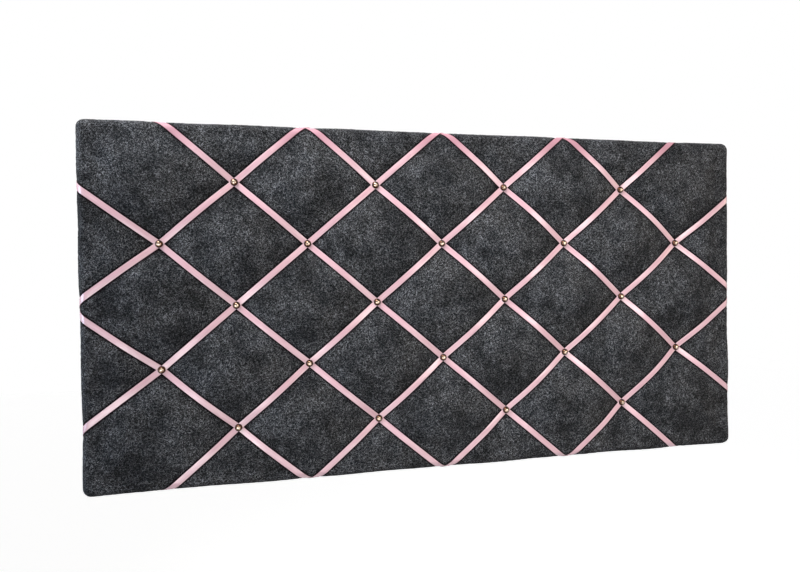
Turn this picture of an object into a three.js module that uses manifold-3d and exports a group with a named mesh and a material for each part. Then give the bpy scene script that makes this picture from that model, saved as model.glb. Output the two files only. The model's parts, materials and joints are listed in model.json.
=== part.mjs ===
// French memo board: a fibreboard panel padded with wadding and covered in wool felt,
// crossed by two families of satin ribbon with a domed brass nail at every crossing,
// and hung from two strap hangers with swinging D-rings.
// Millimetres. X runs across the board, Y from its front to the wall, Z up.

import * as THREE from 'three';
import { mergeVertices } from 'three/addons/utils/BufferGeometryUtils.js';
import Module from 'manifold-3d';

const wasm = await Module();
wasm.setup();

// The covered board, over the felt
const COVER_WIDTH = 713;
const COVER_HEIGHT = 359;
const EDGE_ROUND = 8; // roll of the front edges and of the corners
const REAR_ROUND = 4; // fold of the felt onto the back
const HEM_WIDTH = 38; // felt turned over on the back

// Layers from the back to the front
const BOARD_THICKNESS = 10;
const WADDING_AT_STUD = 2.5; // pressed flat under a nail
const WADDING_AT_SIDE = 3;
const FELT_THICKNESS = 3;

// How far the padding swells above the felt at a nail
const RIBBON_RISE = 5; // under the middle of a ribbon's span
const DIAMOND_RISE = 5; // the crown of a diamond above that
const EDGE_RISE = 4.5; // where the front starts to roll over the edge
const EDGE_LAND = 8; // level strip along that line
const EDGE_BLEND = 30; // width over which the tufting fades into it

// Lattice of ribbons and nails
const STUD_PITCH = 142; // between neighbours in one row
const ROW_PITCH = 61;
const RIBBONS_EACH_WAY = 6;
const SIDE_SLOPE = 0.87; // of the ribbons past the outer nails, as a share of their slope between nails

// Ribbons
const RIBBON_WIDTH = 6;
const RIBBON_THICKNESS = 0.4;
const CHANNEL_MARGIN = 0.5; // level felt beside a ribbon
const RIBBON_TAIL = 16; // end that lies on the back

// Brass nails
const STUD_DIAMETER = 7.5;
const STUD_HEIGHT = 3;
const STUD_WALL = 0.6; // the head is a pressed hollow dome
const SHANK_DIAMETER = 1.6;
const SHANK_LENGTH = 13;
const SHANK_POINT = 2.5;

// Strap hangers
const HANGER_INSET = 68.5; // from the hem's side edge to the strap's middle
const HANGER_DROP = 41.5; // from the hem's upper edge down to the ring's bar
const STRAP_WIDTH = 12;
const STRAP_SHEET = 0.8;
const STRAP_LENGTH = 29; // from the ring's bar to the rounded end
const SCREW_SETBACK = 21; // from the ring's bar to the screw
const RING_WIRE = 2;
const RING_WIDTH = 20; // between the middles of its two sides
const RING_REACH = 13; // from its bar to the middle of its arch
const RING_CORNER = 2.5;

// Screws
const SCREW_DIAMETER = 3;
const SCREW_LENGTH = 9;
const SCREW_POINT = 2;
const SCREW_HEAD_DIAMETER = 6;
const SCREW_HEAD_HEIGHT = 2;

// Bumper pads
const BUMPER_DIAMETER = 10;
const BUMPER_HEIGHT = 2.5;
const BUMPER_CHAMFER = 0.6;
const BUMPER_GAP = 4; // to the ribbon ends on the hem

// Fits
const SEAT = 0.3; // gap left between two pieces that touch
const BORE_GAP = 0.35; // round a shank in its hole and a ring bar in its loop

// Fineness of the facets
const CROWN_STEPS = 3; // across a diamond of the felt
const EDGE_STEPS = 4;
const REAR_STEPS = 2;
const CORNER_STEPS = 4;
const STUD_SIDES = 10;
const DOME_STEPS = 4;
const PIERCED_SIDES = 4; // nail holes in cloth and padding
const DRILLED_SIDES = 8; // holes in board and steel
const ROUND_SIDES = 16;
const WIRE_SIDES = 8;
const ARCH_STEPS = 12;
const BEND_STEPS = 3;
const WELD = 1e-4; // corners closer than this are one
const SAME_NUMBER = 1e-6; // and so are lattice numbers

const QUARTER = Math.PI / 2;
const ROW_LETTERS = 'abcdefghijklmnopqrstuvwxyz'; // rows of nails, from the top

// Level front: the part of the face inside the rolled edges
const FLAT_X = COVER_WIDTH / 2 - EDGE_ROUND;
const FLAT_Z = COVER_HEIGHT / 2 - EDGE_ROUND;

// Planes across the depth, with Y = 0 on the back of the board
const REAR_FACE = SEAT + FELT_THICKNESS;
const WADDING_STACK = SEAT + WADDING_AT_STUD + SEAT;
const FELT_FRONT = -(BOARD_THICKNESS + WADDING_STACK + FELT_THICKNESS);
const EDGE_AXIS_Y = FELT_FRONT - EDGE_RISE + EDGE_ROUND;
const REAR_AXIS_Y = REAR_FACE - REAR_ROUND;
const REAR_AXIS_OUT = EDGE_ROUND - REAR_ROUND;

// Ribbon layers above the felt: falling ribbons lie first, rising ones cross over them
const FIRST_LAYER = SEAT;
const SECOND_LAYER = FIRST_LAYER + RIBBON_THICKNESS + SEAT;
const STUD_SEAT = SECOND_LAYER + RIBBON_THICKNESS + SEAT;

// A closed skin of triangles, gathered piece by piece
class Skin {
  corners = [];

  triangle(a, b, c) {
    for (const point of [a, b, c]) this.corners.push(point.x, point.y, point.z);
  }

  quad(a, b, c, d) {
    this.triangle(a, b, c);
    this.triangle(a, c, d);
  }

  fan(points) {
    for (let i = 1; i + 1 < points.length; i++) this.triangle(points[0], points[i], points[i + 1]);
  }

  geometry() {
    const geometry = new THREE.BufferGeometry();
    geometry.setAttribute('position', new THREE.Float32BufferAttribute(this.corners, 3));
    return geometry;
  }
}

// Welds a closed geometry into a solid that can be joined and cut
function toSolid(geometry) {
  const plain = geometry.clone();
  plain.deleteAttribute('normal');
  plain.deleteAttribute('uv');
  const welded = mergeVertices(plain, WELD);
  const triangles = [];
  for (let i = 0; i < welded.index.count; i += 3) {
    const [a, b, c] = [0, 1, 2].map((k) => welded.index.getX(i + k));
    if (a !== b && b !== c && c !== a) triangles.push(a, b, c);
  }
  const vertProperties = Float32Array.from(welded.attributes.position.array);
  const triVerts = Uint32Array.from(triangles);
  return new wasm.Manifold(new wasm.Mesh({ numProp: 3, vertProperties, triVerts }));
}

function toGeometry(solid) {
  const mesh = solid.getMesh();
  const geometry = new THREE.BufferGeometry();
  geometry.setAttribute('position', new THREE.BufferAttribute(mesh.vertProperties, 3));
  geometry.setIndex(new THREE.BufferAttribute(mesh.triVerts, 1));
  return geometry;
}

// An outline in the X-Z plane given depth towards the front, its rear face at rearY
function slab(shape, depth, rearY) {
  const options = { depth, bevelEnabled: false, curveSegments: CORNER_STEPS };
  return new THREE.ExtrudeGeometry(shape, options).rotateX(QUARTER).translate(0, rearY, 0);
}

function roundedRectangle(halfX, halfZ, radius) {
  const shape = new THREE.Shape();
  shape.absarc(halfX - radius, halfZ - radius, radius, 0, QUARTER);
  shape.absarc(radius - halfX, halfZ - radius, radius, QUARTER, 2 * QUARTER);
  shape.absarc(radius - halfX, radius - halfZ, radius, 2 * QUARTER, 3 * QUARTER);
  shape.absarc(halfX - radius, radius - halfZ, radius, 3 * QUARTER, 4 * QUARTER);
  return shape;
}

// A hole cutter along Y whose flats clear a shank of the given diameter
function holeCutter(shankDiameter, sides, place, frontY, rearY) {
  const radius = (shankDiameter / 2 + BORE_GAP) / Math.cos(Math.PI / sides);
  const cutter = new THREE.CylinderGeometry(radius, radius, rearY - frontY, sides);
  return toSolid(cutter.translate(place.x, (frontY + rearY) / 2, place.z));
}

const cutAll = (solid, cutters) => cutters.reduce((rest, cutter) => rest.subtract(cutter), solid);

// The ribbon lattice. Every falling ribbon keeps one "fall" number and every rising ribbon
// one "rise" number, so a pair of numbers is a point of the face.
const STEP_X = STUD_PITCH / 2;
const LAST_LINE = (RIBBONS_EACH_WAY - 1) / 2;
const LINES = Array.from({ length: RIBBONS_EACH_WAY }, (_, i) => i - LAST_LINE);
const LINE_SPACING = (STUD_PITCH * ROW_PITCH) / Math.hypot(STEP_X, ROW_PITCH);
const RIBBON_HALF = RIBBON_WIDTH / 2 / LINE_SPACING;
const CHANNEL_HALF = (RIBBON_WIDTH / 2 + CHANNEL_MARGIN) / LINE_SPACING;

// Past the outer nails the lattice is drawn out to both sides, so the ribbons run flatter there
const OUTER_STUD_X = Math.floor((FLAT_X - STUD_DIAMETER / 2) / STEP_X) * STEP_X;
const LATTICE_X = OUTER_STUD_X + (FLAT_X - OUTER_STUD_X) * SIDE_SLOPE;

function drawnOut(x) {
  const past = Math.max(Math.abs(x) - OUTER_STUD_X, 0);
  return x + Math.sign(x) * past * (1 / SIDE_SLOPE - 1);
}

function latticePoint(fall, rise) {
  return { fall, rise, x: drawnOut((fall + rise) * STEP_X), z: (fall - rise) * ROW_PITCH };
}

function nearestLine(number) {
  const line = Math.round(number - LAST_LINE) + LAST_LINE;
  return THREE.MathUtils.clamp(line, -LAST_LINE, LAST_LINE);
}

const inChannel = (number) =>
  Math.abs(number - nearestLine(number)) < CHANNEL_HALF + SAME_NUMBER;

// 0 in a ribbon's channel, 1 halfway to the next ribbon and everywhere past the last one
function swell(number) {
  const off = Math.max(Math.abs(number - nearestLine(number)) - CHANNEL_HALF, 0);
  return Math.sin(QUARTER * Math.min(off / (0.5 - CHANNEL_HALF), 1));
}

// Height of the tufted face above the felt at a nail. A channel is level across its width.
function faceHeight(fall, rise) {
  const a = swell(fall);
  const b = swell(rise);
  const tuft = RIBBON_RISE * (a + b - a * b) + DIAMOND_RISE * a * b;
  const settle = (number) => (inChannel(number) ? nearestLine(number) : number);
  const middle = latticePoint(settle(fall), settle(rise));
  const inside = Math.min(FLAT_X - Math.abs(middle.x), FLAT_Z - Math.abs(middle.z));
  const share = THREE.MathUtils.smoothstep(inside, EDGE_LAND, EDGE_LAND + EDGE_BLEND);
  return THREE.MathUtils.lerp(EDGE_RISE, tuft, share);
}

// Lattice numbers past the last ribbon, in half steps out to the corners of the face
function outerNumbers() {
  const reach = (FLAT_X / STEP_X + FLAT_Z / ROW_PITCH) / 2;
  const numbers = [];
  for (let n = LAST_LINE + 0.5; n < reach + 0.5; n += 0.5) numbers.push(-n, n);
  return numbers;
}

// Where the facets of the felt meet: both sides of every channel and even steps between
function feltNumbers() {
  const numbers = outerNumbers();
  for (const line of LINES) {
    numbers.push(line - CHANNEL_HALF, line + CHANNEL_HALF);
    for (let s = 1; s < CROWN_STEPS && line < LAST_LINE; s++) {
      numbers.push(THREE.MathUtils.lerp(line + CHANNEL_HALF, line + 1 - CHANNEL_HALF, s / CROWN_STEPS));
    }
  }
  return numbers.sort((a, b) => a - b);
}

// Where the facets of the padding meet: along the ribbons and halfway between them
function paddingNumbers() {
  const numbers = outerNumbers();
  for (let n = -LAST_LINE; n <= LAST_LINE; n += 0.5) numbers.push(n);
  return numbers.sort((a, b) => a - b);
}

// Trims a polygon of lattice points to the level front
function trimToFront(polygon) {
  let kept = polygon;
  for (const [axis, limit] of [['x', FLAT_X], ['x', -FLAT_X], ['z', FLAT_Z], ['z', -FLAT_Z]]) {
    const room = (point) => (limit - point[axis]) * Math.sign(limit);
    kept = kept.flatMap((here, i) => {
      const next = kept[(i + 1) % kept.length];
      const found = room(here) >= 0 ? [here] : [];
      if (room(here) * room(next) >= 0) return found;
      const share = room(here) / (room(here) - room(next));
      const mix = (key) => here[key] + (next[key] - here[key]) * share;
      return [...found, { fall: mix('fall'), rise: mix('rise'), x: mix('x'), z: mix('z'), [axis]: limit }];
    });
  }
  return kept;
}

// Section of the rolled edge, from the level front to the back, `offset` outside the felt
function edgeProfile(offset) {
  const points = [];
  for (let s = 0; s <= EDGE_STEPS; s++) {
    const turn = (QUARTER * s) / EDGE_STEPS;
    const radius = EDGE_ROUND + offset;
    points.push({ out: radius * Math.sin(turn), y: EDGE_AXIS_Y - radius * Math.cos(turn) });
  }
  for (let s = 0; s <= REAR_STEPS; s++) {
    const turn = QUARTER + (QUARTER * s) / REAR_STEPS;
    const radius = REAR_ROUND + offset;
    const out = REAR_AXIS_OUT + radius * Math.sin(turn);
    points.push({ out, y: REAR_AXIS_Y - radius * Math.cos(turn) });
  }
  return points;
}

// One closed line round the board, anticlockwise from the front, starting at the right-hand side
function outlineRing({ out, y }) {
  const signs = [[1, 1], [-1, 1], [-1, -1], [1, -1]];
  return signs.flatMap(([signX, signZ], corner) =>
    Array.from({ length: CORNER_STEPS + 1 }, (_, s) => {
      const turn = QUARTER * (corner + s / CORNER_STEPS);
      const x = signX * FLAT_X + out * Math.cos(turn);
      return new THREE.Vector3(x, y, signZ * FLAT_Z + out * Math.sin(turn));
    }),
  );
}

// The tufted face, `inset` below the felt's surface. Returns the points along its border.
function addTuftedFace(skin, inset, numbers) {
  const border = new Map();
  const place = (point) => {
    const y = FELT_FRONT + inset - faceHeight(point.fall, point.rise);
    const spot = new THREE.Vector3(point.x, y, point.z);
    const onBorder = Math.abs(point.x) === FLAT_X || Math.abs(point.z) === FLAT_Z;
    if (onBorder) border.set(`${point.x.toFixed(3)} ${point.z.toFixed(3)}`, spot);
    return spot;
  };
  for (let i = 0; i + 1 < numbers.length; i++) {
    for (let j = 0; j + 1 < numbers.length; j++) {
      const cell = [[i, j], [i, j + 1], [i + 1, j + 1], [i + 1, j]];
      const polygon = cell.map(([f, r]) => latticePoint(numbers[f], numbers[r]));
      const spots = trimToFront(polygon).map(place);
      const crowned = spots.length === 4 && spots[1].y + spots[3].y < spots[0].y + spots[2].y;
      if (crowned) spots.push(spots.shift());
      skin.fan(spots);
    }
  }
  return [...border.values()];
}

// The strip from the border of the face to the first line of the rolled edge
function addFaceBorder(skin, border, ring) {
  const side = CORNER_STEPS + 1;
  const along = [(p) => -p.x, (p) => -p.z, (p) => p.x, (p) => p.z];
  const onSide = [
    (p) => p.z === FLAT_Z,
    (p) => p.x === -FLAT_X,
    (p) => p.z === -FLAT_Z,
    (p) => p.x === FLAT_X,
  ];
  for (let corner = 0; corner < 4; corner++) {
    const points = border.filter(onSide[corner]).sort((a, b) => along[corner](a) - along[corner](b));
    const start = ring[corner * side + CORNER_STEPS];
    const end = ring[((corner + 1) % 4) * side];
    const middle = Math.floor(points.length / 2);
    for (let i = 0; i < middle; i++) skin.triangle(points[i], start, points[i + 1]);
    skin.triangle(points[middle], start, end);
    for (let i = middle; i + 1 < points.length; i++) skin.triangle(points[i], end, points[i + 1]);
    for (let s = 0; s < CORNER_STEPS; s++) {
      skin.triangle(points[0], ring[corner * side + s], ring[corner * side + s + 1]);
    }
  }
}

// The whole padded block, `inset` below the felt's surface, with a flat back
function cushionBlock(inset, numbers) {
  const skin = new Skin();
  const rings = edgeProfile(-inset).slice(1).map(outlineRing);
  addFaceBorder(skin, addTuftedFace(skin, inset, numbers), rings[0]);
  for (let k = 0; k + 1 < rings.length; k++) {
    rings[k].forEach((here, i) => {
      const j = (i + 1) % rings[k].length;
      skin.quad(here, rings[k + 1][i], rings[k + 1][j], rings[k][j]);
    });
  }
  skin.fan([...rings.at(-1)].reverse());
  return toSolid(skin.geometry());
}

// Nails sit at the crossings that lie on the level front
function studPlaces() {
  const reachX = FLAT_X - STUD_DIAMETER / 2;
  const reachZ = FLAT_Z - STUD_DIAMETER / 2;
  return LINES.flatMap((fall) => LINES.map((rise) => latticePoint(fall, rise))).filter(
    (place) => Math.abs(place.x) < reachX && Math.abs(place.z) < reachZ,
  );
}

const studs = studPlaces();
const studRim = ({ fall, rise }) => FELT_FRONT - faceHeight(fall, rise) - STUD_SEAT;
const studHoles = (places, rearY) =>
  places.map((place) => holeCutter(SHANK_DIAMETER, PIERCED_SIDES, place, studRim(place), rearY));

const BOARD_ROUND = EDGE_ROUND - FELT_THICKNESS - SEAT - WADDING_AT_SIDE - SEAT;
const boardOutline = (grow) =>
  roundedRectangle(FLAT_X + BOARD_ROUND + grow, FLAT_Z + BOARD_ROUND + grow, BOARD_ROUND + grow);
const HANGER_X = COVER_WIDTH / 2 - HEM_WIDTH - HANGER_INSET;
const HANGER_Z = COVER_HEIGHT / 2 - HEM_WIDTH - HANGER_DROP;
const STRAP_TOP = SEAT + 2 * STRAP_SHEET;

// Fibreboard panel, with the holes that the nails and the hanger screws make in it
function backingBoard() {
  const panel = toSolid(slab(boardOutline(0), BOARD_THICKNESS, 0));
  const nailHoles = studs.map((place) => {
    const bottom = studRim(place) + SHANK_LENGTH + SEAT;
    return holeCutter(SHANK_DIAMETER, DRILLED_SIDES, place, studRim(place), bottom);
  });
  const screwHoles = [-1, 1].map((side) => {
    const place = { x: side * HANGER_X, z: HANGER_Z - SCREW_SETBACK };
    return holeCutter(SCREW_DIAMETER, DRILLED_SIDES, place, STRAP_TOP - SCREW_LENGTH, STRAP_TOP);
  });
  return toGeometry(cutAll(panel, [...nailHoles, ...screwHoles]));
}

// Polyester wadding, wrapped over the front and the sides of the panel
function wadding() {
  const block = cushionBlock(FELT_THICKNESS + SEAT, paddingNumbers());
  const bed = toSolid(slab(boardOutline(SEAT), BOARD_THICKNESS + SEAT + REAR_FACE, REAR_FACE));
  return toGeometry(cutAll(block.subtract(bed), studHoles(studs, -BOARD_THICKNESS)));
}

// Wool felt, an even sheet over the wadding, folded to the back with a hem all round
function feltCover() {
  const hollow = cushionBlock(FELT_THICKNESS, paddingNumbers());
  const openWidth = COVER_WIDTH - 2 * HEM_WIDTH;
  const openHeight = COVER_HEIGHT - 2 * HEM_WIDTH;
  const backWindow = new THREE.BoxGeometry(openWidth, 2 * REAR_FACE, openHeight).translate(0, REAR_FACE, 0);
  const shell = cushionBlock(0, feltNumbers()).subtract(hollow).subtract(toSolid(backWindow));
  return toGeometry(cutAll(shell, studHoles(studs, FELT_FRONT + FELT_THICKNESS + SEAT)));
}

// Ribbons. A station is the pair of points across a ribbon, under it and over it.
class Ribbon {
  constructor(family, line) {
    this.falling = family === 'fall';
    this.line = line;
    this.slope = this.falling ? -1 : 1;
    this.edgeLayer = this.falling ? FIRST_LAYER : SECOND_LAYER;
  }

  // Point at a travel number, on the right (-1), the middle (0) or the left (1) of the ribbon
  at(travel, side) {
    const line = this.line - side * this.slope * RIBBON_HALF;
    return this.falling ? latticePoint(line, travel) : latticePoint(travel, line);
  }

  studs() {
    return studs.filter((place) => (this.falling ? place.fall : place.rise) === this.line);
  }

  frontStation(travel) {
    const middle = this.at(travel, 0);
    const layer = inChannel(travel) ? this.edgeLayer : FIRST_LAYER;
    const under = FELT_FRONT - faceHeight(middle.fall, middle.rise) - layer;
    const spot = (side, y) => {
      const { x, z } = this.at(travel, side);
      return new THREE.Vector3(x, y, z);
    };
    const over = under - RIBBON_THICKNESS;
    return { right: [spot(-1, under), spot(-1, over)], left: [spot(1, under), spot(1, over)] };
  }

  frontStations() {
    const inside = ({ x, z }) => Math.abs(x) < FLAT_X - SEAT && Math.abs(z) < FLAT_Z - SEAT;
    return feltNumbers()
      .filter((travel) => inside(this.at(travel, -1)) && inside(this.at(travel, 1)))
      .map((travel) => this.frontStation(travel));
  }

  // Stations over the rolled edge and along the back, straight on the unfolded felt
  endStations(sense) {
    const way = { x: sense * STEP_X, z: sense * this.slope * ROW_PITCH };
    const start = this.at(0, 0);
    const runX = (Math.sign(way.x) * LATTICE_X - start.x) / way.x;
    const runZ = (Math.sign(way.z) * FLAT_Z - start.z) / way.z;
    const toSide = { axis: 'x', cross: 'z', limit: FLAT_X, run: LATTICE_X, pace: SIDE_SLOPE };
    const toTop = { axis: 'z', cross: 'x', limit: FLAT_Z, run: FLAT_Z, pace: 1 };
    const { axis, cross, limit, run, pace } = runX < runZ ? toSide : toTop;
    const outward = Math.sign(way[axis]);
    const drift = way[cross] / Math.abs(way[axis]);
    const profiles = [this.edgeLayer, this.edgeLayer + RIBBON_THICKNESS].map((offset) => {
      const profile = edgeProfile(offset);
      const { out, y } = profile.at(-1);
      return [...profile, { out: out - RIBBON_TAIL, y }];
    });
    let length = 0;
    return profiles[0].map((under, k) => {
      const before = profiles[0][Math.max(k - 1, 0)];
      length += Math.hypot(under.out - before.out, under.y - before.y);
      const spot = (side, { out, y }) => {
        const from = this.at(0, side);
        const shift = from[cross] + (run - outward * from[axis] + length * pace) * drift;
        const reach = outward * (limit + out);
        return axis === 'x' ? new THREE.Vector3(reach, y, shift) : new THREE.Vector3(shift, y, reach);
      };
      const pair = (side) => [spot(side, under), spot(side, profiles[1][k])];
      return { right: pair(-1), left: pair(1) };
    });
  }

  geometry() {
    const skin = new Skin();
    const stations = [...this.endStations(-1).reverse(), ...this.frontStations(), ...this.endStations(1)];
    const loops = stations.map(({ right, left }) => [right[1], left[1], left[0], right[0]]);
    for (let k = 0; k + 1 < loops.length; k++) {
      for (let i = 0; i < 4; i++) {
        const j = (i + 1) % 4;
        skin.quad(loops[k][i], loops[k + 1][i], loops[k + 1][j], loops[k][j]);
      }
    }
    skin.fan(loops[0]);
    skin.fan([...loops.at(-1)].reverse());
    return toGeometry(cutAll(toSolid(skin.geometry()), studHoles(this.studs(), FELT_FRONT)));
  }
}

// Brass nail, turned about Y with its dome towards +Y and its rim at Y = 0
function studGeometry() {
  const dome = (radius, height, turn) =>
    new THREE.Vector2(radius * Math.cos(turn), height * Math.sin(turn));
  const inner = { radius: STUD_DIAMETER / 2 - STUD_WALL, height: STUD_HEIGHT - STUD_WALL };
  const shankRadius = SHANK_DIAMETER / 2;
  const throat = Math.acos(shankRadius / inner.radius);
  const profile = [
    new THREE.Vector2(0, -SHANK_LENGTH),
    new THREE.Vector2(shankRadius, SHANK_POINT - SHANK_LENGTH),
    dome(inner.radius, inner.height, throat),
    dome(inner.radius, inner.height, throat / 2),
    new THREE.Vector2(inner.radius, 0),
  ];
  for (let s = 0; s < DOME_STEPS; s++) {
    profile.push(dome(STUD_DIAMETER / 2, STUD_HEIGHT, (QUARTER * s) / DOME_STEPS));
  }
  profile.push(new THREE.Vector2(0, STUD_HEIGHT));
  return new THREE.LatheGeometry(profile, STUD_SIDES);
}

// Hanger strap: a sheet folded round the ring's bar, both layers lying on the board.
// The bar's axis is at the origin and the strap hangs down from it.
const LOOP_BORE = RING_WIRE / 2 + BORE_GAP;
const LOOP_RADIUS = LOOP_BORE + STRAP_SHEET;
const BAR_AXIS_Y = SEAT + LOOP_RADIUS;

function strapGeometry() {
  const bottom = -LOOP_RADIUS;
  const top = bottom + 2 * STRAP_SHEET;
  const section = new THREE.Shape();
  section.moveTo(-STRAP_LENGTH, bottom);
  section.lineTo(0, bottom);
  section.absarc(0, 0, LOOP_RADIUS, -QUARTER, Math.PI - Math.asin(top / LOOP_RADIUS));
  section.lineTo(-STRAP_LENGTH, top);
  const bore = new THREE.Path();
  bore.absarc(0, 0, LOOP_BORE / Math.cos(Math.PI / ROUND_SIDES), 0, 2 * Math.PI, true);
  section.holes.push(bore);
  const options = { depth: STRAP_WIDTH, bevelEnabled: false, curveSegments: ROUND_SIDES };
  const folded = new THREE.ExtrudeGeometry(section, options).translate(0, 0, -STRAP_WIDTH / 2);
  const turned = new THREE.Matrix4().makeBasis(
    new THREE.Vector3(0, 0, 1),
    new THREE.Vector3(0, 1, 0),
    new THREE.Vector3(-1, 0, 0),
  );
  const half = STRAP_WIDTH / 2;
  const clear = LOOP_RADIUS + SEAT;
  const outline = new THREE.Shape();
  outline.moveTo(half, clear);
  outline.lineTo(-half, clear);
  outline.absarc(0, half - STRAP_LENGTH, half, Math.PI, 2 * Math.PI);
  const blank = slab(outline, 2 * clear, clear);
  const screwPlace = { x: 0, z: -SCREW_SETBACK };
  const screwHole = holeCutter(SCREW_DIAMETER, DRILLED_SIDES, screwPlace, -clear, clear);
  const strap = toSolid(folded.applyMatrix4(turned)).intersect(toSolid(blank));
  return toGeometry(strap.subtract(screwHole));
}

// D-ring of round wire: a straight bar along X at the origin, bent corners and an arch above
function ringGeometry() {
  const half = RING_WIDTH / 2;
  const path = [];
  for (let s = 0; s <= BEND_STEPS; s++) {
    const turn = -QUARTER + (QUARTER * s) / BEND_STEPS;
    const x = half - RING_CORNER + RING_CORNER * Math.cos(turn);
    path.push(new THREE.Vector3(x, 0, RING_CORNER * (1 + Math.sin(turn))));
  }
  for (let s = 1; s < ARCH_STEPS; s++) {
    const turn = (Math.PI * s) / ARCH_STEPS;
    const rise = (RING_REACH - RING_CORNER) * Math.sin(turn);
    path.push(new THREE.Vector3(half * Math.cos(turn), 0, RING_CORNER + rise));
  }
  const bend = path.slice(0, BEND_STEPS + 1);
  path.push(...bend.reverse().map((point) => new THREE.Vector3(-point.x, 0, point.z)));
  const depth = new THREE.Vector3(0, 1, 0);
  const loops = path.map((point, i) => {
    const before = path[(i + path.length - 1) % path.length];
    const after = path[(i + 1) % path.length];
    const come = point.clone().sub(before).normalize();
    const leave = after.clone().sub(point).normalize();
    const outward = come.clone().add(leave).normalize().cross(depth).negate();
    const stretch = 1 / Math.cos(come.angleTo(leave) / 2);
    return Array.from({ length: WIRE_SIDES }, (_, k) => {
      const turn = (2 * Math.PI * (k + 0.5)) / WIRE_SIDES;
      const reach = (RING_WIRE / 2) * Math.cos(turn) * stretch;
      const spot = point.clone().addScaledVector(outward, reach);
      return spot.addScaledVector(depth, (RING_WIRE / 2) * Math.sin(turn));
    });
  });
  const skin = new Skin();
  loops.forEach((loop, i) => {
    const next = loops[(i + 1) % loops.length];
    loop.forEach((spot, k) => {
      const l = (k + 1) % WIRE_SIDES;
      skin.quad(spot, loop[l], next[l], next[k]);
    });
  });
  return toGeometry(toSolid(skin.geometry()));
}

// Pan-head screw along Y, the underside of its head at Y = 0 and its point towards -Y
function screwGeometry() {
  const radius = SCREW_DIAMETER / 2;
  const headRadius = SCREW_HEAD_DIAMETER / 2;
  const profile = [
    new THREE.Vector2(0, -SCREW_LENGTH),
    new THREE.Vector2(radius, SCREW_POINT - SCREW_LENGTH),
    new THREE.Vector2(radius, 0),
    new THREE.Vector2(headRadius, 0),
    new THREE.Vector2(headRadius, SCREW_HEAD_HEIGHT / 2),
    new THREE.Vector2(headRadius * Math.SQRT1_2, SCREW_HEAD_HEIGHT),
    new THREE.Vector2(0, SCREW_HEAD_HEIGHT),
  ];
  return new THREE.LatheGeometry(profile, ROUND_SIDES);
}

// Bumper pad along Y, stuck to the hem at Y = 0, with a flat face towards the wall
function bumperGeometry() {
  const radius = BUMPER_DIAMETER / 2;
  const profile = [
    new THREE.Vector2(0, 0),
    new THREE.Vector2(radius, 0),
    new THREE.Vector2(radius, BUMPER_HEIGHT - BUMPER_CHAMFER),
    new THREE.Vector2(radius - BUMPER_CHAMFER, BUMPER_HEIGHT),
    new THREE.Vector2(0, BUMPER_HEIGHT),
  ];
  return new THREE.LatheGeometry(profile, ROUND_SIDES);
}

// Finishes
const finish = (color, roughness, metalness = 0) =>
  new THREE.MeshStandardMaterial({ color, roughness, metalness });
const fibreboard = finish(0xb49468, 0.9);
const polyester = finish(0xf1efe8, 1);
const charcoalFelt = finish(0x3e4045, 1);
const pinkSatin = finish(0xe2a2b0, 0.45);
const agedBrass = finish(0x9c7a48, 0.3, 1);
const zincSteel = finish(0xb8bbbd, 0.4, 1);
const greyRubber = finish(0x4a4a4c, 0.8);

const memoBoard = new THREE.Group();

function addPiece(name, geometry, material, x = 0, y = 0, z = 0) {
  const piece = new THREE.Mesh(geometry, material);
  piece.name = name;
  piece.position.set(x, y, z);
  memoBoard.add(piece);
  return piece;
}

addPiece('backing_board', backingBoard(), fibreboard);
addPiece('wadding', wadding(), polyester);
addPiece('felt_cover', feltCover(), charcoalFelt);

for (const family of ['fall', 'rise']) {
  LINES.forEach((line, i) => {
    addPiece(`ribbon_${family}_${i + 1}`, new Ribbon(family, line).geometry(), pinkSatin);
  });
}

const rowHeights = [...new Set(studs.map(({ z }) => z))].sort((a, b) => b - a);
rowHeights.forEach((height, row) => {
  const places = studs.filter(({ z }) => z === height).sort((a, b) => a.x - b.x);
  places.forEach((place, i) => {
    const name = `stud_${ROW_LETTERS[row]}${i + 1}`;
    const stud = addPiece(name, studGeometry(), agedBrass, place.x, studRim(place), place.z);
    stud.rotation.x = Math.PI;
  });
});

// At rest the rings point up and lean on the board
const ringLean = Math.asin((BAR_AXIS_Y - RING_WIRE / 2 - SEAT) / RING_REACH);
const bumperInset = REAR_ROUND + RIBBON_TAIL + BUMPER_GAP + BUMPER_DIAMETER / 2;
const bumperX = COVER_WIDTH / 2 - bumperInset;
const bumperZ = bumperInset - COVER_HEIGHT / 2;
for (const side of [-1, 1]) {
  const name = side < 0 ? 'left' : 'right';
  const x = side * HANGER_X;
  const screwZ = HANGER_Z - SCREW_SETBACK;
  addPiece(`hanger_strap_${name}`, strapGeometry(), zincSteel, x, BAR_AXIS_Y, HANGER_Z);
  const ring = addPiece(`hanger_ring_${name}`, ringGeometry(), zincSteel, x, BAR_AXIS_Y, HANGER_Z);
  ring.rotation.x = ringLean;
  addPiece(`hanger_screw_${name}`, screwGeometry(), zincSteel, x, STRAP_TOP + SEAT, screwZ);
  addPiece(`wall_bumper_${name}`, bumperGeometry(), greyRubber, side * bumperX, REAR_FACE + SEAT, bumperZ);
}

// The origin is the middle of the whole board
const middle = new THREE.Box3().setFromObject(memoBoard).getCenter(new THREE.Vector3());
memoBoard.position.y = -middle.y;

export default memoBoard;
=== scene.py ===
import json

import bmesh
import bpy
import numpy as np
from mathutils import Matrix, Vector


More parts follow.
